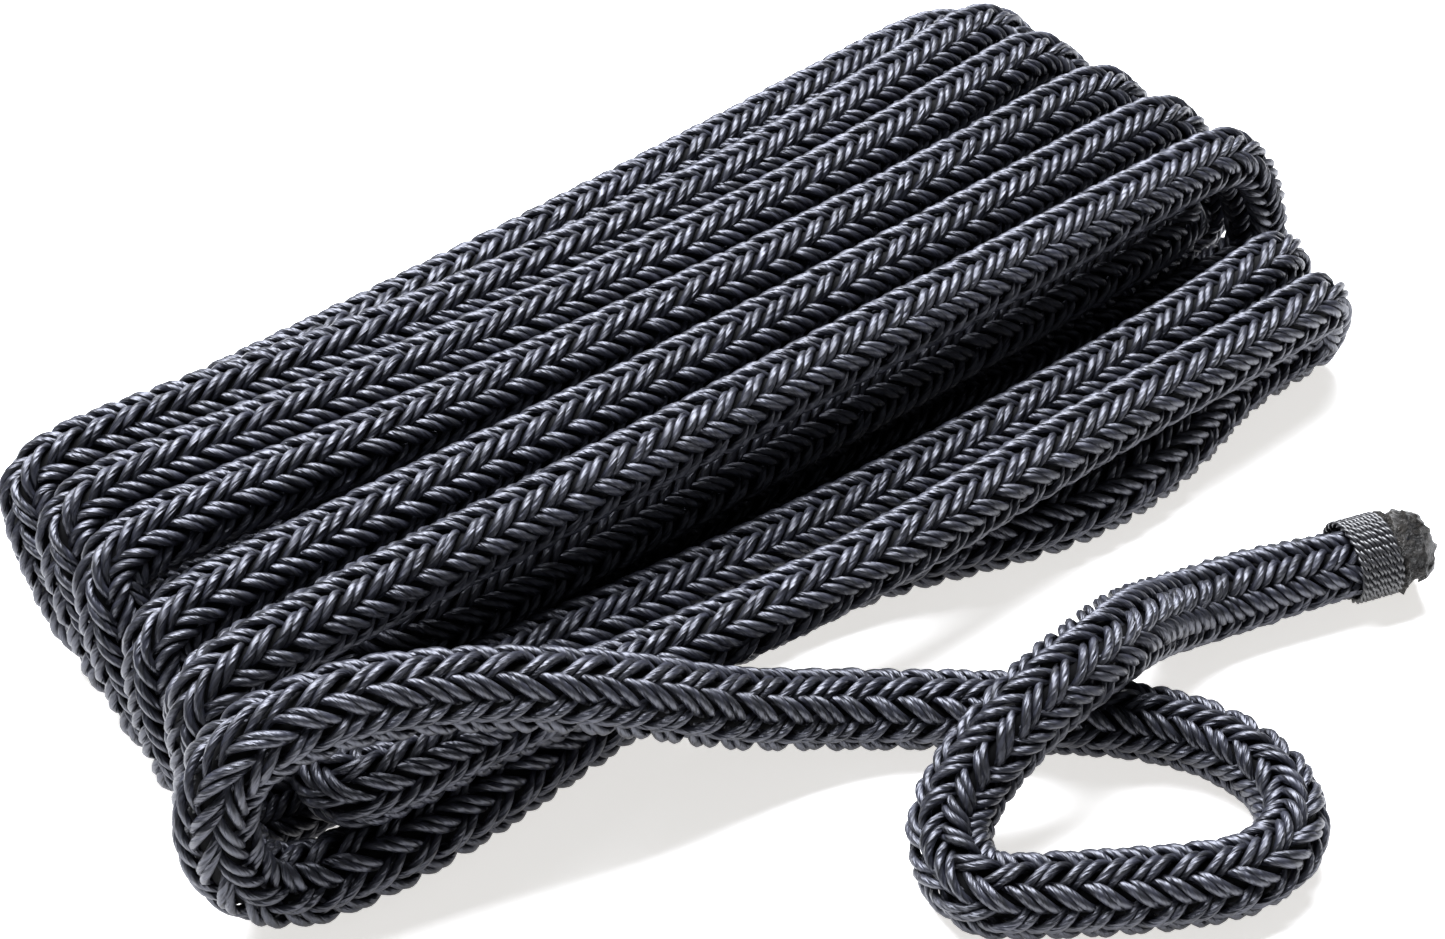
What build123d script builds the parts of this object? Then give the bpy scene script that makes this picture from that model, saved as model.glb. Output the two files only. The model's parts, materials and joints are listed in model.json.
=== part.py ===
"""A coiled dock line: double-braid rope folded into a loose hank, with one free end.

The hank is one closed solid of its outer shape.  The free tail is a braided cover
around a braided core, and ends in a twine whipping and a heat-sealed tip.
X runs along the hank, Z is up, and the hank and the tail rest on z = 0.
"""
import math
import os

from build123d import *

# ---------------------------------------------------------------- driving sizes (mm)
ROPE = 12.7                       # nominal rope diameter (1/2 in)
CORE = 0.63 * ROPE                # the core braid
CORE_CLEARANCE = 0.1              # radial, between the core and the cover
NECK = 0.93 * ROPE                # the cover, squeezed under the whipping
TWINE = 0.8                       # whipping twine
TWINE_TURNS = 13
WHIPPING = TWINE * TWINE_TURNS
TIP_LENGTH = 0.62 * ROPE          # heat-sealed stub beyond the whipping
TIP_DIAMETER = 0.98 * ROPE
TIP_ROUNDING = 1.6

TURN_WIDTH = 1.36 * ROPE          # a turn's slab laps over its neighbours
TURN_ROUNDING = 0.46 * ROPE
BASE_HEIGHT = 0.5 * ROPE          # flat bed made by the lowest runs

# Each turn of the hank, from back to front, in rope diameters:
# y at its left end, y at its right end, x at its left end, x at its right end, height
TURNS = [
    (4.30, 4.35, -9.1, 9.4, 2.70),
    (3.35, 3.40, -10.0, 9.6, 3.25),
    (2.25, 2.20, -10.0, 9.6, 3.35),
    (1.15, 0.90, -10.1, 9.7, 3.35),
    (-0.30, -0.35, -10.2, 9.7, 3.35),
    (-1.45, -1.60, -10.3, 10.0, 3.45),
    (-2.35, -3.15, -9.1, 9.3, 2.10),
    (-3.30, -4.15, -8.6, 9.2, 2.10),
]
BASE_LEFT, BASE_RIGHT = -8.0, 8.0   # ends of the flat bed, in diameters
BASE_FRONT, BASE_BACK = -3.2, 4.5

# The free tail's route, in rope diameters.  It leaves the bed of the hank along the
# floor, folds back over itself at the hank's corner, comes down to the floor and makes
# one loop that crosses over its own standing part.
TAIL = [
    (-4.60, -3.30, 0.50),
    (-6.00, -3.50, 0.50),
    (-7.30, -3.60, 0.50),
    (-8.60, -3.55, 0.50),
    (-9.70, -3.30, 0.50),
    (-10.32, -2.95, 1.10),
    (-10.38, -2.80, 2.20),
    (-9.85, -2.76, 2.95),
    (-8.55, -2.98, 3.02),
    (-7.25, -3.40, 2.78),
    (-5.90, -3.80, 2.26),
    (-4.60, -4.16, 1.55),
    (-3.40, -4.62, 0.85),
    (-2.15, -5.22, 0.52),
    (-1.10, -6.12, 0.50),
    (-0.10, -7.00, 0.50),
    (0.85, -7.95, 0.50),
    (1.44, -8.95, 0.50),
    (1.50, -9.95, 0.50),
    (0.98, -10.66, 0.50),
    (0.05, -10.78, 0.50),
    (-1.10, -10.12, 0.50),
    (-2.15, -9.40, 0.50),
    (-2.98, -8.75, 0.50),
    (-2.72, -7.88, 0.58),
    (-2.05, -7.55, 0.90),
    (-1.30, -7.50, 1.38),
    (-0.45, -7.46, 1.65),
    (0.45, -7.38, 1.65),
    (1.30, -7.15, 1.38),
    (2.10, -6.95, 0.92),
    (2.95, -6.92, 0.58),
    (3.80, -7.17, 0.52),
    (4.60, -7.52, 0.52),
    (5.30, -7.80, 0.53),
]
ARC_SHARE = 0.45                   # share of the shorter run that an arc may take


def turn_slab(y_left, y_right, x_left, x_right, height):
    """One turn of the hank: a stadium on edge, one rope wide, with rounded rims."""
    span_x = (x_right - x_left) * ROPE
    span_y = (y_right - y_left) * ROPE
    length = math.hypot(span_x, span_y)
    slab = extrude(Plane.XZ * SlotOverall(length, height * ROPE), TURN_WIDTH / 2, both=True)
    rims = slab.faces().filter_by(Axis.Y).edges()
    slab = fillet(rims, TURN_ROUNDING)
    centre = (
        (x_left + x_right) / 2 * ROPE,
        (y_left + y_right) / 2 * ROPE,
        height / 2 * ROPE,
    )
    return Pos(*centre) * Rot(0, 0, math.degrees(math.atan2(span_y, span_x))) * slab


def base_slab():
    """The flat bed that the lowest runs make together."""
    width = (BASE_RIGHT - BASE_LEFT) * ROPE
    depth = (BASE_BACK - BASE_FRONT) * ROPE
    centre = (
        (BASE_LEFT + BASE_RIGHT) / 2 * ROPE,
        (BASE_FRONT + BASE_BACK) / 2 * ROPE,
        BASE_HEIGHT / 2,
    )
    return Pos(*centre) * Box(width, depth, BASE_HEIGHT)


def bend_radii(points):
    """The largest arc that the two runs at each corner allow."""
    radii = []
    for before, corner, after in zip(points, points[1:], points[2:]):
        arriving = corner - before
        leaving = after - corner
        half_turn = math.radians(arriving.get_angle(leaving)) / 2
        shorter = min(arriving.length, leaving.length)
        radii.append(ARC_SHARE * shorter / math.tan(half_turn))
    return radii


def tail_path():
    points = [Vector(x * ROPE, y * ROPE, z * ROPE) for x, y, z in TAIL]
    radii = bend_radii(points)
    print("tail bend radii in diameters:", [round(radius / ROPE, 1) for radius in radii])
    return FilletPolyline(*points, radius=radii)


def swept(path, outer, inner=0.0):
    """A round section carried along the path, solid or hollow."""
    section = Plane(origin=path @ 0, z_dir=path % 0)
    profile = section * Circle(outer / 2)
    if inner > 0:
        profile = profile - section * Circle(inner / 2)
    return sweep(profile, path=path)


def at_end(path, offset, shape):
    """Place a shape built along +Z so that it starts beyond the path's end."""
    end = Plane(origin=path @ 1 + (path % 1) * offset, z_dir=path % 1)
    return end.location * shape


def upright(diameter, length, inner=0.0):
    """A cylinder or sleeve that stands on its own origin."""
    body = extrude(Circle(diameter / 2), length)
    if inner > 0:
        body = body - extrude(Circle(inner / 2), length)
    return body


def cover(path):
    bore = CORE + 2 * CORE_CLEARANCE
    neck = at_end(path, 0, upright(NECK, WHIPPING, bore))
    return swept(path, ROPE, bore) + neck


def core(path):
    return swept(path, CORE) + at_end(path, 0, upright(CORE, WHIPPING))


def whipping(path):
    """Twine wound side by side over the squeezed end of the cover."""
    band = upright(NECK + TWINE, WHIPPING, NECK)
    for turn in range(TWINE_TURNS):
        ring = Torus(NECK / 2 + TWINE / 2, TWINE / 2)
        band = band + Pos(0, 0, (turn + 0.5) * TWINE) * ring
    return at_end(path, 0, band)


def sealed_tip(path):
    stub = upright(TIP_DIAMETER, TIP_LENGTH)
    stub = fillet(stub.faces().sort_by(Axis.Z)[-1].edges(), TIP_ROUNDING)
    return at_end(path, WHIPPING, stub)


def hank(path):
    """The outer shape of all the turns, less the room that the tail takes."""
    block = base_slab()
    for turn in TURNS:
        block = block + turn_slab(*turn)
    return block - swept(path, ROPE)


path = tail_path()
nodes = {
    "hank": hank(path),
    "tail_cover": cover(path),
    "tail_core": core(path),
    "end_whipping": whipping(path),
    "end_tip": sealed_tip(path),
}

# The origin is the middle of the underside of the whole part.
box = Compound(children=[part.solids()[0] for part in nodes.values()]).bounding_box()
to_origin = Pos(-box.center().X, -box.center().Y, 0)
print("hank centre lies at", round(-box.center().X, 3), round(-box.center().Y, 3))

section_area = math.pi / 4 * (ROPE**2 - (CORE + 2 * CORE_CLEARANCE) ** 2)
neck_volume = math.pi / 4 * (NECK**2 - (CORE + 2 * CORE_CLEARANCE) ** 2) * WHIPPING
print("tail length", round(path.length, 1), "mm")
print("cover volume", round(nodes["tail_cover"].volume), "section x length",
      round(section_area * path.length + neck_volume))

os.makedirs("parts", exist_ok=True)
for name, shape in nodes.items():
    export_step(to_origin * shape, f"parts/{name}.step")
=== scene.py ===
"""A coiled dock line: the 16 strands of a double-braid rope, laid along one smooth route.

Lengths are in metres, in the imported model's frame, unless a name or comment says that
they are in rope diameters.  The route is one NURBS curve.  The core, the strands, the
whippings and the melted ends all follow points read from it.
"""
import json
import math
from collections import namedtuple

import bpy
import numpy as np
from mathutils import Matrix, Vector


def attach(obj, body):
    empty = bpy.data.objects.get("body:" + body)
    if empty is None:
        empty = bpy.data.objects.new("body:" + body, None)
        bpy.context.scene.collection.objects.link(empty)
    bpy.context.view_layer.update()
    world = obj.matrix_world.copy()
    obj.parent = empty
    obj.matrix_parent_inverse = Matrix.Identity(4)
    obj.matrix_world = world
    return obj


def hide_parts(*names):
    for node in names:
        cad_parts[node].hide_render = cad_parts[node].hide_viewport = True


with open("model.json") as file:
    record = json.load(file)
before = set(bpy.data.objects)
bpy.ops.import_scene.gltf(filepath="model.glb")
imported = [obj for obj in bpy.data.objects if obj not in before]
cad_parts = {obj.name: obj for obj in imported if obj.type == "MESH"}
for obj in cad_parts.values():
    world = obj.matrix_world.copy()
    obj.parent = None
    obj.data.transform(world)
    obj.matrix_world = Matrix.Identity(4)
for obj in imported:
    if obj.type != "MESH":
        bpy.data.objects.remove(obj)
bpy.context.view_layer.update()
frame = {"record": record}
mounts = {mount["name"]: mount for mount in frame["record"]["mounts"]}
HANK_CENTRE = np.array(mounts["underside"]["pos_m"])

# ---------------------------------------------------------------- the rope
ROPE = 0.0127                     # nominal diameter
RADIUS = 0.5                      # its radius, in diameters
SPACING = 0.05                    # between the points read from the route, in diameters

# The cover's braid, in rope diameters.  Eight strands wind each way, and each strand is
# two yarns side by side.  A strand passes over two others, then under two, so that the
# floats stand in eight columns along the rope.
STRANDS_EACH_WAY = 8
COLUMN = math.pi / 4              # one column's share of the way round
WEAVES = STRANDS_EACH_WAY // 2    # times that a strand goes over and under in one turn
LAY = 3.70                        # length in which a strand goes once round the rope
# The lay at distances from the free end: pushed up beside the whipping, and drawn out
# along the tail and the last turn.
LAYS = [
    (0.0, 2.90),
    (7.0, LAY),
    (19.0, LAY),
    (24.0, 4.40),
    (38.0, 4.40),
    (44.0, 4.15),
    (60.0, 4.15),
    (72.0, LAY),
]
RINGS = 16                        # sections of a yarn per diameter of rope
YARN_WIDTH = 0.133
YARN_HEIGHT = 0.150
YARN_PITCH = 0.105                # between the two yarns of a strand
OVER = 0.520 - YARN_HEIGHT / 2    # from the rope's middle to a yarn that lies on top
DIP = 0.205                       # how much deeper it lies where it passes under
DIVE = 0.9                        # how sharply it goes from over to under
THINNING = 0.34                   # how much thinner it is there
DRIFT = 0.065                     # how far a yarn strays round the rope, in radians
UNEVENNESS = 0.014                # how far it strays in and out
CORE = 0.355                      # radius of the core
CORE_CORNERS = 12
CORE_STEP = 4                     # the core follows every fourth point of the route
# How wide the rope is for its thickness, at distances from the free end: the tail lies
# a little flattened, and is pinched where the loop turns back.
WIDTHS = [
    (0.0, 1.09),
    (13.0, 1.08),
    (15.2, 0.92),
    (17.2, 0.92),
    (19.5, 1.07),
    (34.0, 1.07),
    (40.0, 1.0),
]
# How thick the braid is at distances from the nearer end: it swells where it is pushed
# up beside the whipping, and stays a little loose for some way.
FULLNESS = [
    (0.0, 1.0),
    (1.9, 1.0),
    (2.7, 1.11),
    (7.0, 1.09),
    (11.0, 1.05),
    (34.0, 1.05),
    (40.0, 1.0),
]
# The waves of a slow irregularity: radians for each diameter of rope, and the phase
# that a seed adds.
WANDER_WAVES = [(0.83, 2.4), (1.97, 5.1)]

# The ends, in rope diameters from the very end of the line.
TIP_LENGTH = 0.62
WHIPPING_LENGTH = 0.72
WHIPPED = TIP_LENGTH + WHIPPING_LENGTH
STRAND_END = 0.40                 # the strands stop here, inside the melted tip
NECK = 0.93                       # width under the whipping
NECK_REACH = 0.5                  # length over which the rope narrows to it
TWINE_TURNS = 11                  # of whipping twine, made of two plies
TWINE_REACH = 0.545               # from the rope's middle to the middle of the twine
PLY_WIDTH = 0.050
PLY_OFFSET = 0.026                # from the middle of the twine to the middle of a ply
PLY_TWISTS = 13                   # in one turn round the rope
PLY_STEPS = 130                   # points in one turn round the rope
TWIST_DRIFT = 0.9                 # how far the plies' twist strays, in radians
TWINE_UNEVENNESS = 0.006          # how far the twine strays in and out
TWIST_SEED = 40.0
TWINE_SEED = 41.0

# The melted tip's outline: how far along the tip, and how far out from its middle.
TIP_OUTLINE = [
    (-0.12, 0.470),
    (-0.04, 0.560),
    (0.05, 0.590),
    (0.13, 0.530),
    (0.24, 0.500),
    (0.36, 0.505),
    (0.48, 0.495),
    (0.60, 0.500),
    (0.72, 0.490),
    (0.83, 0.480),
    (0.92, 0.455),
    (0.97, 0.410),
    (0.96, 0.340),
    (0.90, 0.260),
    (0.86, 0.160),
    (0.84, 0.060),
]
TIP_CORNERS = 64
# The tip is ragged lengthwise from a place along it, and fully so a little further on.
RAGGED_FROM = 0.5
RAGGED_OVER = 0.3
RAGGEDNESS = 1.5
TIP_SETBACK = 0.035               # keeps the ragged rim short of the line's very end
# Waves that crumple it: how many round the tip, how many along it, size and phase.
TIP_WAVES = [
    (2, 0.4, 0.022, 0.3),
    (3, -0.9, 0.020, 1.9),
    (5, 1.6, 0.018, 4.2),
    (8, -2.3, 0.018, 2.7),
    (13, 3.1, 0.014, 0.8),
    (19, -2.3, 0.011, 5.1),
]

# ---------------------------------------------------------------- the route
# Places in the hank are in rope diameters from the middle of its underside.
FLOOR = 0.5                       # height of a run that lies on the floor
FIRST_RUN_START = -5.5            # where the first turn's run on the floor starts
RUN_SHARES = (-0.78, -0.52, -0.26, 0.0, 0.26, 0.52, 0.78)
FOLD_SHARES = (0.08, 0.28, 0.58, 0.86)   # how far a fold has gone over to the upper run
# The control points of a fold: how far out and up from its middle, in fold radii.
LEFT_FOLD = [(0.92, -1.00), (1.02, -0.30), (1.00, 0.48), (0.80, 1.00)]
RIGHT_FOLD = [(1.15, -1.00), (1.16, -0.35), (0.93, 0.45), (0.50, 1.00)]
HAIRPIN_ANGLES = (67.5, 22.5, -22.5, -67.5)   # four corners of an octagon, in degrees

# A turn comes along the floor from left to right, folds up and goes back over the hank.
# under and over are its y at the left, in the middle and at the right.  ends are the
# x that its upper run reaches, and heights belong to the upper run.
Turn = namedtuple("Turn", "under over ends heights")
TURNS = [
    Turn((4.30, 3.75, 3.15), (4.48, 4.10, 4.72), (-8.6, 9.03), (1.68, 2.12, 2.08)),
    Turn((3.20, 2.75, 2.20), (4.12, 2.68, 3.92), (-9.43, 9.22), (2.45, 2.75, 2.60)),
    Turn((2.25, 1.75, 1.15), (2.78, 1.68, 2.60), (-9.5, 9.18), (2.70, 2.85, 2.70)),
    Turn((1.15, 0.75, 0.15), (1.55, 0.65, 1.15), (-9.6, 9.28), (2.80, 2.85, 2.70)),
    Turn((0.05, -0.25, -0.85), (-0.05, -0.49, -0.20), (-9.7, 9.38), (2.75, 2.85, 2.75)),
    Turn((-0.95, -1.30, -1.95), (-1.35, -1.72, -1.50), (-9.8, 9.52), (2.80, 2.95, 2.75)),
    Turn((-2.05, -2.18, -2.85), (-2.15, -3.00, -3.22), (-8.1, 8.85), (1.50, 1.32, 1.80)),
]
# The last turn starts with a flat hairpin beside the one before, goes over the hank to
# the right and folds down to the front run on the floor, which leads to the tail.
LAST_RUN = [
    (-8.10, -3.15, 1.40),
    (-6.20, -3.25, 1.40),
    (-4.20, -3.65, 1.45),
    (-2.00, -4.05, 1.55),
    (0.20, -4.17, 1.60),
    (2.40, -4.12, 1.60),
    (4.60, -4.12, 1.57),
    (6.60, -4.15, 1.55),
]
LAST_FOLD_X = 8.75
FRONT_RUN = [
    (7.00, -3.85, 0.50),
    (5.60, -4.30, 0.50),
    (4.20, -4.48, 0.50),
    (2.80, -4.35, 0.50),
    (1.50, -3.90, 0.50),
    (0.20, -3.45, 0.50),
    (-1.40, -3.10, 0.50),
]

# The rest of the line is put away inside the hank as a flat coil, between the runs on
# the floor and those on top.  Each leg is its y and how far it reaches, from the middle.
LEGS = [(0.15, 8.50), (-1.50, 7.30), (1.20, 7.60), (3.25, 7.40)]
LEG_HEIGHT = 1.56
LEG_POINTS = 7
FIRST_LEG_START = 4.8
DOWN_TO_FLOOR = [
    (-6.4, 3.35, 1.50),
    (-7.1, 3.78, 1.15),
    (-7.2, 4.15, 0.75),
    (-6.4, 4.32, 0.50),
]

# The free tail: along the floor, back over itself at the hank's corner, down to the
# floor again and round one loop that crosses over its own standing part.
TAIL = [
    (-3.00, -3.15, 0.50),
    (-4.60, -3.30, 0.50),
    (-6.00, -3.40, 0.50),
    (-7.30, -3.47, 0.50),
    (-8.60, -3.43, 0.50),
    (-9.66, -3.20, 0.50),
    (-10.32, -2.95, 1.10),
    (-10.38, -2.80, 2.20),
    (-9.85, -2.76, 2.95),
    (-8.55, -2.98, 3.02),
    (-7.25, -3.40, 2.78),
    (-6.02, -3.94, 2.43),
    (-4.83, -4.45, 1.89),
    (-3.57, -4.83, 1.09),
    (-2.22, -5.31, 0.60),
    (-1.10, -6.12, 0.50),
    (-0.10, -7.00, 0.50),
    (0.85, -7.95, 0.50),
    (1.44, -8.95, 0.50),
    (1.50, -9.95, 0.50),
    (0.98, -10.66, 0.50),
    (0.05, -10.78, 0.50),
    (-1.10, -10.12, 0.50),
    (-2.15, -9.40, 0.50),
    (-2.98, -8.75, 0.50),
    (-2.72, -7.88, 0.58),
    (-2.05, -7.55, 0.90),
    (-1.30, -7.50, 1.38),
    (-0.45, -7.46, 1.65),
    (0.45, -7.38, 1.65),
    (1.30, -7.15, 1.38),
    (2.10, -6.95, 0.92),
    (2.95, -6.92, 0.58),
    (3.80, -7.13, 0.56),
    (4.60, -7.46, 0.60),
    (5.30, -7.74, 0.63),
    (6.43, -8.16, 0.68),
]


def through(left, middle, right, share):
    """A smooth value that is left at -1, middle at 0 and right at 1."""
    slope = (right - left) / 2
    bow = (left + right) / 2 - middle
    return middle + slope * share + bow * share * share


def fold(reach_x, shape, low, high, y_low, y_high, rising):
    """Control points round the squarish half turn between a floor run and an upper one."""
    radius = (high - low) / 2
    side = math.copysign(1.0, reach_x)
    centre_x = reach_x - side * radius
    points = []
    for share, (out, rise) in zip(FOLD_SHARES, shape):
        x = centre_x + side * out * radius
        y = y_low + (y_high - y_low) * share
        points.append((x, y, low + radius * (1 + rise)))
    return points if rising else points[::-1]


def hairpin(x, heading, y, next_y, height):
    """A level half turn from a run at y to the one beside it."""
    radius = abs(next_y - y) / 2
    corner = radius / math.cos(math.radians(HAIRPIN_ANGLES[1]))
    side = 1 if y > next_y else -1
    points = []
    for angle in HAIRPIN_ANGLES:
        turned = math.radians(angle)
        across = (y + next_y) / 2 + side * corner * math.sin(turned)
        points.append((x + heading * corner * math.cos(turned), across, height))
    return points


def run_points(left, right, places, heights):
    """Control points along one run of the hank, from left to right."""
    middle, half = (left + right) / 2, (right - left) / 2
    points = []
    for share in RUN_SHARES:
        height = through(*heights, share)
        points.append((middle + share * half, through(*places, share), height))
    return points


def middle_coil():
    """The flat coil inside the hank, from its hidden end outwards, and down to the floor."""
    points = []
    last = len(LEGS) - 1
    for number, (y, reach) in enumerate(LEGS):
        heading = -1 if (last - number) % 2 == 0 else 1
        next_y = LEGS[number + 1][0] if number < last else y
        turn_in = abs(y - LEGS[number - 1][0]) / 2 if number else 0.0
        start = heading * (turn_in - reach) if number else -heading * FIRST_LEG_START
        end = heading * (reach - abs(next_y - y) / 2)
        inner = np.linspace(start, end, LEG_POINTS)[:-1]
        for x in inner if number == 0 else inner[1:]:
            points.append((x, y, LEG_HEIGHT))
        if number < last:
            points += hairpin(end, heading, y, next_y, LEG_HEIGHT)
    return points + DOWN_TO_FLOOR


def turn_points(number):
    """Along the floor, up the right fold, back over the hank and down the left fold."""
    turn = TURNS[number]
    left = TURNS[number - 1].ends[0] if number else FIRST_RUN_START
    floor = (FLOOR, FLOOR, FLOOR)
    points = run_points(left, turn.ends[1], turn.under, floor)
    points += fold(turn.ends[1], RIGHT_FOLD, FLOOR, turn.heights[2], turn.under[2], turn.over[2], True)
    points += run_points(*turn.ends, turn.over, turn.heights)[::-1]
    if number < len(TURNS) - 1:
        y_low = TURNS[number + 1].under[0]
        points += fold(turn.ends[0], LEFT_FOLD, FLOOR, turn.heights[0], y_low, turn.over[0], False)
    return points


def last_turn():
    """The flat hairpin, the front upper run, its right fold and the front run."""
    x, y, height = LAST_RUN[0]
    points = hairpin(x, -1, TURNS[-1].over[0], y, height) + LAST_RUN[1:]
    y_high, height = LAST_RUN[-1][1:]
    points += fold(LAST_FOLD_X, RIGHT_FOLD, FLOOR, height, FRONT_RUN[0][1], y_high, False)
    return points + FRONT_RUN


def route_points():
    """Control points of the whole line, from the hidden end to the free one, in metres."""
    points = middle_coil()
    for number in range(len(TURNS)):
        points += turn_points(number)
    points += last_turn()
    return np.array(points + TAIL) * ROPE + HANK_CENTRE


def facing_places():
    """The middles of the upper runs, and the end run of the tail."""
    places = [(0.0, turn.over[1], turn.heights[1]) for turn in TURNS]
    places += [LAST_RUN[4], TAIL[-2]]
    return np.array(places) * ROPE + HANK_CENTRE


def nurbs(name, points):
    """One smooth open curve with these control points."""
    data = bpy.data.curves.new(name, "CURVE")
    data.dimensions = "3D"
    data.resolution_u = 24
    spline = data.splines.new("NURBS")
    spline.points.add(len(points) - 1)
    for target, place in zip(spline.points, points):
        target.co = (*place, 1.0)
    spline.order_u = 3
    spline.use_endpoint_u = True
    return bpy.data.objects.new(name, data)


def read_line(curve):
    """Evenly spaced points along a curve's own line."""
    mesh = bpy.data.meshes.new_from_object(curve)
    points = np.array([vertex.co[:] for vertex in mesh.vertices])
    bpy.data.meshes.remove(mesh)
    steps = np.linalg.norm(np.diff(points, axis=0), axis=1)
    reached = np.concatenate([[0.0], np.cumsum(steps)])
    count = int(round(reached[-1] / (SPACING * ROPE))) + 1
    wanted = np.linspace(0.0, reached[-1], count)
    return wanted, np.column_stack([np.interp(wanted, reached, points[:, k]) for k in range(3)])


def unit(vectors):
    return vectors / np.linalg.norm(vectors, axis=-1, keepdims=True)


def smooth(value):
    """From 0 to 1 with soft ends, for a value that goes from 0 to 1."""
    value = np.clip(value, 0.0, 1.0)
    return value * value * (3 - 2 * value)


def wander(along, seed):
    """A slow, smooth irregularity between -1 and 1, different for every seed."""
    place = along / ROPE
    waves = sum(np.sin(place * rate + seed * phase) for rate, phase in WANDER_WAVES)
    return waves / len(WANDER_WAVES)


class Line:
    """The rope's middle line, with two sideways directions carried along it."""

    def __init__(self, curve):
        self.reached, self.points = read_line(curve)
        self.length = self.reached[-1]
        self.tangents = unit(np.gradient(self.points, axis=0))
        side = np.cross(self.tangents[0], (0.0, 0.0, 1.0))
        sides = []
        for tangent in self.tangents:
            side = side - tangent * np.dot(side, tangent)
            side = side / np.linalg.norm(side)
            sides.append(side)
        self.sides = np.array(sides)
        self.ups = np.cross(self.sides, self.tangents)
        self.to_end = (self.length - self.reached) / ROPE
        self.wound = self.winding()
        self.widening = np.interp(self.to_end, *np.transpose(WIDTHS))

    def winding(self):
        """How far round the rope a strand has gone, in radians, at each point."""
        lay = np.interp(self.to_end, *np.transpose(LAYS))
        rate = 2 * math.pi / (lay * ROPE)
        steps = (rate[1:] + rate[:-1]) / 2 * np.diff(self.reached)
        return np.concatenate([[0.0], np.cumsum(steps)])

    def face(self, places, direction):
        """Roll the rope so that at each place two columns meet facing one direction."""
        stations, rolls = [0.0], [0.0]
        for place in places:
            index = int(np.argmin(np.linalg.norm(self.points - place, axis=1)))
            seen = math.atan2(np.dot(direction, self.ups[index]), np.dot(direction, self.sides[index]))
            upward = np.cross(direction, (1.0, 0.0, 0.0))
            rising = np.dot(np.cross(self.tangents[index], direction), upward)
            wanted = seen - COLUMN / 2 * (1 if rising > 0 else -1)
            nearest = round((wanted - rolls[-1]) / (2 * COLUMN)) * 2 * COLUMN
            stations.append(self.reached[index])
            rolls.append(wanted - nearest)
        roll = np.interp(self.reached, stations, rolls)[:, None]
        sides, ups = self.sides, self.ups
        self.sides = sides * np.cos(roll) + ups * np.sin(roll)
        self.ups = ups * np.cos(roll) - sides * np.sin(roll)

    def at(self, along, values):
        return np.column_stack([np.interp(along, self.reached, values[:, k]) for k in range(3)])

    def around(self, along, angle, radius):
        """Places at a distance from the middle line, and the outward directions there."""
        outward = unit(
            self.at(along, self.sides) * np.cos(angle)[:, None]
            + self.at(along, self.ups) * np.sin(angle)[:, None]
        )
        away = outward * radius[:, None]
        away[:, :2] *= np.interp(along, self.reached, self.widening)[:, None]
        return self.at(along, self.points) + away, outward

    def thickness(self, along):
        """The rope's thickness, as a share of its nominal one: least under a whipping."""
        from_end = np.minimum(along, self.length - along) / ROPE
        neck = 1 - (1 - NECK) * smooth((WHIPPED + NECK_REACH - from_end) / NECK_REACH)
        return neck * np.interp(from_end, *np.transpose(FULLNESS))


# ---------------------------------------------------------------- meshes
def new_mesh(name, points, faces, material, grain=None):
    """A smooth-shaded object; grain is each face corner's place round and along a yarn."""
    mesh = bpy.data.meshes.new(name)
    mesh.from_pydata(points, [], faces)
    if grain is not None:
        layer = mesh.uv_layers.new(name="grain")
        layer.data.foreach_set("uv", grain.ravel())
    mesh.shade_smooth()
    mesh.materials.append(material)
    piece = bpy.data.objects.new(name, mesh)
    bpy.context.scene.collection.objects.link(piece)
    return piece


def yarn_body(centres, outward, section, size=None):
    """Rings of points round a yarn.

    section is the outline as (across, out) in metres, one row for each corner, and size
    is a factor for each ring.
    """
    if size is None:
        size = np.ones(len(centres))
    forward = unit(np.gradient(centres, axis=0))
    across = unit(np.cross(forward, outward))
    out = np.cross(across, forward)
    outline = section[None, :, :] * size[:, None, None]
    return (
        centres[:, None, :]
        + across[:, None, :] * outline[:, :, 0, None]
        + out[:, None, :] * outline[:, :, 1, None]
    )


def skin(rings, first_point=0):
    """Quads round a closed tube of rings, its two end caps, and the quads' grain."""
    count, corners = rings.shape[:2]
    ring = np.arange(count - 1)[:, None] * corners
    corner = np.arange(corners)[None, :]
    following = (corner + 1) % corners
    quads = np.stack(
        [ring + corner, ring + following, ring + corners + following, ring + corners + corner],
        axis=-1,
    ).reshape(-1, 4)
    middle = rings.mean(axis=1)
    along = np.concatenate([[0.0], np.cumsum(np.linalg.norm(np.diff(middle, axis=0), axis=1))])
    edge = np.linalg.norm(rings[0] - np.roll(rings[0], 1, axis=0), axis=1)
    round_it = np.concatenate([[0.0], np.cumsum(np.roll(edge, -1))])
    low, high = round_it[:-1], round_it[1:]
    back, front = along[:-1, None], along[1:, None]
    grain = np.empty((count - 1, corners, 4, 2))
    grain[:, :, 0, 0] = grain[:, :, 3, 0] = low
    grain[:, :, 1, 0] = grain[:, :, 2, 0] = high
    grain[:, :, 0, 1] = grain[:, :, 1, 1] = back
    grain[:, :, 2, 1] = grain[:, :, 3, 1] = front
    return quads + first_point, grain.reshape(-1, 2)


def joined_tubes(name, tubes, material):
    """One object made of several closed tubes, each given as its rings."""
    points, faces, grains = [], [], []
    start = 0
    for rings in tubes:
        quads, grain = skin(rings, start)
        corners = rings.shape[1]
        size = rings.shape[0] * corners
        points.append(rings.reshape(-1, 3))
        faces += quads.tolist()
        faces.append(list(range(start + corners - 1, start - 1, -1)))
        faces.append(list(range(start + size - corners, start + size)))
        grains += [grain, np.zeros((2 * corners, 2))]
        start += size
    return new_mesh(name, np.concatenate(points), faces, material, np.concatenate(grains))


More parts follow.
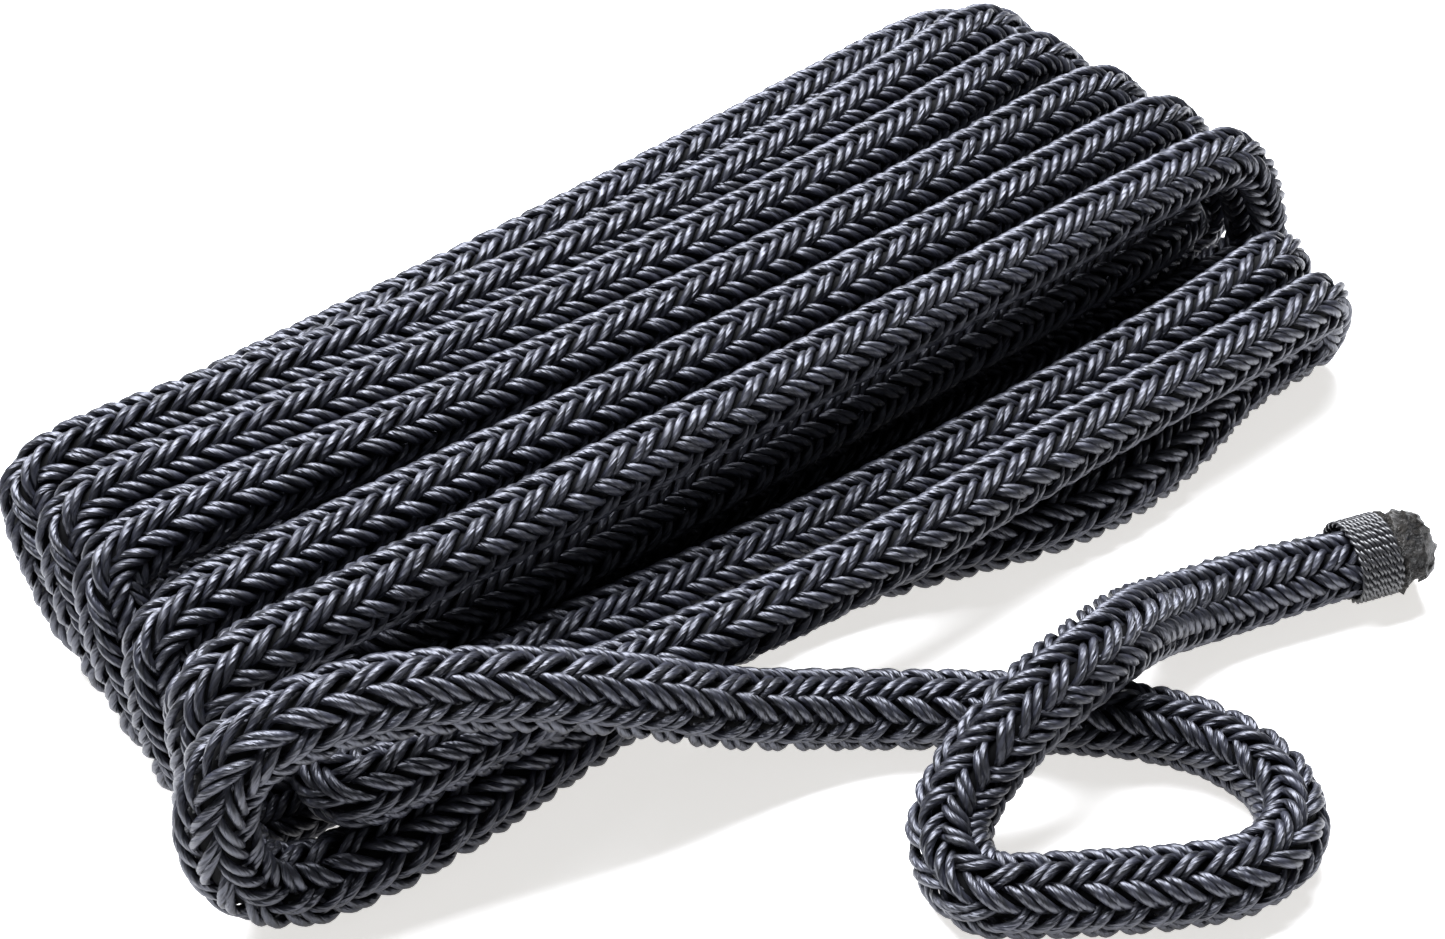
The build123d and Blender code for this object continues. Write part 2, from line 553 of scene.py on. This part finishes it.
YARN_OUTLINE = np.array([
    (0.98, -0.10),
    (0.70, 0.68),
    (0.0, 1.0),
    (-0.70, 0.68),
    (-0.98, -0.10),
    (0.0, -0.8),
])


def strand(line, way, number, material):
    """Two yarns side by side, winding one way round the rope (+1) or the other (-1)."""
    lean = math.atan(2 * math.pi * OVER / LAY)
    across = YARN_PITCH / 2 / OVER * math.cos(lean)
    ahead = YARN_PITCH / 2 * math.sin(lean)
    stagger = 0.0 if way > 0 else COLUMN / 2
    along = np.arange(STRAND_END * ROPE, line.length - STRAND_END * ROPE, ROPE / RINGS)
    wound = np.interp(along, line.reached, line.wound)
    tubes = []
    for side in (-1, 1):
        seed = 10 * number + 3 * side + way
        drift = DRIFT * wander(along, seed)
        angle = way * (COLUMN * number + wound + side * across + drift) + stagger
        height = way * np.tanh(DIVE * np.cos(WEAVES * angle)) / math.tanh(DIVE)
        under = (1 - height) / 2
        uneven = UNEVENNESS * wander(along, seed + 0.5)
        radius = (OVER - DIP * under + uneven) * line.thickness(along)
        place = along - side * ahead * ROPE
        centres, outward = line.around(place, angle, radius * ROPE)
        section = YARN_OUTLINE * (YARN_WIDTH * ROPE / 2, YARN_HEIGHT * ROPE / 2)
        tubes.append(yarn_body(centres, outward, section, 1 - THINNING * under))
    name = f"strand_{'s' if way > 0 else 'z'}_{number + 1}"
    return joined_tubes(name, tubes, material)


def core(line, material):
    """The core, as one smooth body that the cover's strands lie on."""
    turn = np.linspace(0, 2 * math.pi, CORE_CORNERS, endpoint=False)
    section = np.column_stack([np.cos(turn), np.sin(turn)]) * CORE * ROPE
    stub = int(STRAND_END / SPACING)
    keep = slice(stub, -stub, CORE_STEP)
    rings = yarn_body(line.points[keep], line.ups[keep], section)
    return joined_tubes("core", [rings], material)


def whipping(name, line, from_end, material):
    """Two plies of twine twisted together and wound side by side round the rope.

    from_end turns a distance from the rope's end into a place along the line.
    """
    share = np.linspace(0.0, 1.0, TWINE_TURNS * PLY_STEPS)
    angle = 2 * math.pi * TWINE_TURNS * share
    wound = angle * ROPE / 2
    reach = (TIP_LENGTH + PLY_WIDTH + (WHIPPING_LENGTH - 2 * PLY_WIDTH) * share) * ROPE
    tubes = []
    for side in (0.0, math.pi):
        twist = PLY_TWISTS * angle + side + TWIST_DRIFT * wander(wound, TWIST_SEED)
        uneven = TWINE_UNEVENNESS * wander(wound, TWINE_SEED)
        outer = TWINE_REACH + PLY_OFFSET * np.cos(twist) + uneven
        place = from_end(reach + PLY_OFFSET * np.sin(twist) * ROPE)
        centres, outward = line.around(place, angle, outer * ROPE)
        section = YARN_OUTLINE * PLY_WIDTH * ROPE / 2
        tubes.append(yarn_body(centres, outward, section))
    return joined_tubes(name, tubes, material)


def melted_tip(name, line, from_end, material):
    """The melted and hardened stub: a crumpled skin with a ragged, slightly hollow end."""
    angle = np.linspace(0.0, 2 * math.pi, TIP_CORNERS, endpoint=False)
    rings = []
    for along, out in TIP_OUTLINE:
        crumple = sum(
            size * np.cos(around * angle + 2 * math.pi * lengthwise * along + phase)
            for around, lengthwise, size, phase in TIP_WAVES
        )
        raggedness = RAGGEDNESS * smooth((along - RAGGED_FROM) / RAGGED_OVER)
        reach = TIP_LENGTH * (1 - along) + (TIP_SETBACK + crumple) * raggedness
        place = from_end(np.maximum(reach, 0.0) * ROPE)
        centres, _ = line.around(place, angle, (out + crumple * out / RADIUS) * ROPE)
        rings.append(centres)
    return joined_tubes(name, [np.array(rings)], material)


# ---------------------------------------------------------------- materials
def new_material(name):
    """A material with its node tree and its shader."""
    material = bpy.data.materials.new(name)
    material.use_nodes = True
    return material, material.node_tree, material.node_tree.nodes["Principled BSDF"]


def filament_noise(tree, lean, width, length):
    """Noise drawn out into filaments that lean across a yarn, and are so wide and long."""
    grain = tree.nodes.new("ShaderNodeUVMap")
    grain.uv_map = "grain"
    twist = tree.nodes.new("ShaderNodeMapping")
    twist.vector_type = "TEXTURE"
    twist.inputs["Rotation"].default_value = (0.0, 0.0, math.radians(lean))
    twist.inputs["Scale"].default_value = (width, length, 1.0)
    tree.links.new(grain.outputs["UV"], twist.inputs["Vector"])
    noise = tree.nodes.new("ShaderNodeTexNoise")
    noise.inputs["Scale"].default_value = 1.0
    tree.links.new(twist.outputs["Vector"], noise.inputs["Vector"])
    return noise


def lump_noise(tree, scale):
    """Noise that is as long as it is wide."""
    noise = tree.nodes.new("ShaderNodeTexNoise")
    noise.inputs["Scale"].default_value = scale
    place = tree.nodes.new("ShaderNodeTexCoord")
    tree.links.new(place.outputs["Object"], noise.inputs["Vector"])
    return noise


def tint_by(tree, shader, noise, dark, light):
    """Colour the surface by noise; dark and light are each a place and its colour."""
    tint = tree.nodes.new("ShaderNodeValToRGB")
    for element, (position, colour) in zip(tint.color_ramp.elements, (dark, light)):
        element.position = position
        element.color = (*colour, 1.0)
    tree.links.new(noise.outputs["Fac"], tint.inputs["Fac"])
    tree.links.new(tint.outputs["Color"], shader.inputs["Base Color"])


def bump_by(tree, shader, noise, strength, distance):
    """Raise the surface by noise; distance is in metres."""
    bump = tree.nodes.new("ShaderNodeBump")
    bump.inputs["Strength"].default_value = strength
    bump.inputs["Distance"].default_value = distance
    tree.links.new(noise.outputs["Fac"], bump.inputs["Height"])
    tree.links.new(bump.outputs["Normal"], shader.inputs["Normal"])


def yarn_material():
    """Satin navy-black nylon: fine filaments twisted into a yarn."""
    material, tree, shader = new_material("navy_yarn")
    filaments = filament_noise(tree, lean=22, width=0.00065, length=0.0060)
    filaments.inputs["Detail"].default_value = 2.0
    tint_by(tree, shader, filaments, (0.40, (0.001, 0.001, 0.001)), (0.62, (0.013, 0.014, 0.023)))
    bump_by(tree, shader, filaments, strength=0.9, distance=0.0007)
    shader.inputs["Roughness"].default_value = 0.46
    shader.inputs["Specular IOR Level"].default_value = 1.0
    shader.inputs["Specular Tint"].default_value = (0.86, 0.88, 1.0, 1.0)
    return material


def core_material():
    """The core, which lies in the dark under the cover, coloured near black as painted shade for the
    gaps between the floats.
    """
    material, tree, shader = new_material("core_painted_shade")
    noise = lump_noise(tree, scale=900.0)
    # painted shade: the core's near-black colour stands in for the shade in the gaps between the
    # cover's floats
    tint_by(tree, shader, noise, (0.0, (0.001, 0.001, 0.001)), (1.0, (0.004, 0.004, 0.005)))
    shader.inputs["Roughness"].default_value = 0.8
    shader.inputs["Specular IOR Level"].default_value = 0.15
    return material


def twine_material():
    """Waxed whipping twine."""
    material, tree, shader = new_material("waxed_twine")
    filaments = filament_noise(tree, lean=30, width=0.00016, length=0.0012)
    tint_by(tree, shader, filaments, (0.35, (0.003, 0.003, 0.003)), (0.68, (0.042, 0.042, 0.048)))
    shader.inputs["Roughness"].default_value = 0.42
    shader.inputs["Specular IOR Level"].default_value = 0.9
    return material


def melted_material():
    """Nylon that has run, hardened and been left rough: glossier where it is lighter."""
    material, tree, shader = new_material("melted_nylon")
    lumps = lump_noise(tree, scale=520.0)
    lumps.inputs["Detail"].default_value = 5.0
    lumps.inputs["Roughness"].default_value = 0.65
    tint_by(tree, shader, lumps, (0.38, (0.002, 0.002, 0.002)), (0.70, (0.055, 0.049, 0.042)))
    gloss = tree.nodes.new("ShaderNodeMapRange")
    gloss.inputs["To Min"].default_value = 0.50
    gloss.inputs["To Max"].default_value = 0.18
    tree.links.new(lumps.outputs["Fac"], gloss.inputs["Value"])
    tree.links.new(gloss.outputs["Result"], shader.inputs["Roughness"])
    bump_by(tree, shader, lumps, strength=1.0, distance=0.005)
    return material


def floor_material():
    """A pale floor that glows a little, so that it stays near white in the shadows."""
    material, _, shader = new_material("pale_floor")
    shader.inputs["Base Color"].default_value = (0.9, 0.9, 0.9, 1.0)
    shader.inputs["Roughness"].default_value = 0.6
    shader.inputs["Emission Color"].default_value = (1.0, 0.98, 0.95, 1.0)
    shader.inputs["Emission Strength"].default_value = 0.70
    return material


# ---------------------------------------------------------------- studio
CAMERA_TURN = math.radians(39)        # looking direction, from +Y towards +X
CAMERA_DROP = math.radians(42)        # below the horizon
CAMERA_DISTANCE = 0.5227              # from the middle of the hank's underside
CAMERA_LENS = 67.27                   # in millimetres, on a sensor this wide
CAMERA_SENSOR = 36.0
FLOOR_HALF = 2.0                      # half of the floor's side, in metres


def camera_direction():
    """From the hank towards the camera."""
    return np.array((
        -math.sin(CAMERA_TURN) * math.cos(CAMERA_DROP),
        -math.cos(CAMERA_TURN) * math.cos(CAMERA_DROP),
        math.sin(CAMERA_DROP),
    ))


def add_camera():
    """A camera that looks at the middle of the hank's underside."""
    looking = Vector(-camera_direction())
    data = bpy.data.cameras.new("camera")
    data.lens = CAMERA_LENS
    data.sensor_width = CAMERA_SENSOR
    data.clip_start = 0.01
    camera = bpy.data.objects.new("camera", data)
    camera.location = Vector(HANK_CENTRE) - looking * CAMERA_DISTANCE
    camera.rotation_euler = looking.to_track_quat("-Z", "Y").to_euler()
    bpy.context.scene.collection.objects.link(camera)
    bpy.context.scene.camera = camera


def add_lamp(name, place, target, size, power, tint):
    """A rectangular soft light at a place, turned towards a target."""
    data = bpy.data.lights.new(name, "AREA")
    data.shape = "RECTANGLE"
    data.size, data.size_y = size
    data.energy = power
    data.color = tint
    lamp = bpy.data.objects.new(name, data)
    lamp.location = place
    lamp.rotation_euler = (Vector(target) - Vector(place)).to_track_quat("-Z", "Y").to_euler()
    bpy.context.scene.collection.objects.link(lamp)


def add_studio():
    """The floor, the faint light from all round, and one soft light from behind."""
    half = FLOOR_HALF
    mesh = bpy.data.meshes.new("floor")
    corners = [(-half, -half, 0.0), (half, -half, 0.0), (half, half, 0.0), (-half, half, 0.0)]
    mesh.from_pydata(corners, [], [(0, 1, 2, 3)])
    mesh.materials.append(floor_material())
    floor = bpy.data.objects.new("floor", mesh)
    bpy.context.scene.collection.objects.link(floor)
    world = bpy.data.worlds.new("studio")
    world.use_nodes = True
    background = world.node_tree.nodes["Background"]
    background.inputs["Color"].default_value = (0.92, 0.95, 1.0, 1.0)
    background.inputs["Strength"].default_value = 0.10
    bpy.context.scene.world = world
    add_lamp(
        "top_softbox",
        place=(0.12, 0.42, 0.80),
        target=(0.0, 0.0, 0.0),
        size=(0.9, 0.6),
        power=42.0,
        tint=(0.93, 0.95, 1.0),
    )
    bpy.context.scene.view_settings.view_transform = "Standard"


# ---------------------------------------------------------------- assembly
add_camera()
add_studio()
line = Line(nurbs("route", route_points()))
line.face(facing_places(), camera_direction())
yarn = yarn_material()
strands = []
for way in (1, -1):
    for number in range(STRANDS_EACH_WAY):
        strands.append(strand(line, way, number, yarn))
rope = core(line, core_material())
twine = twine_material()
melted = melted_material()
whippings, tips = [], []
for end, from_end in (("free", lambda reach: line.length - reach), ("hidden", lambda reach: reach)):
    whippings.append(whipping(f"{end}_whipping", line, from_end, twine))
    tips.append(melted_tip(f"{end}_tip", line, from_end, melted))
for piece in [rope] + strands + whippings + tips:
    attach(piece, "root")
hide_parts("hank", "tail_cover", "tail_core")
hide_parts("end_whipping")
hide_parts("end_tip")
print("length of the line", round(line.length, 3), "m,", round(line.length / ROPE, 1), "diameters")
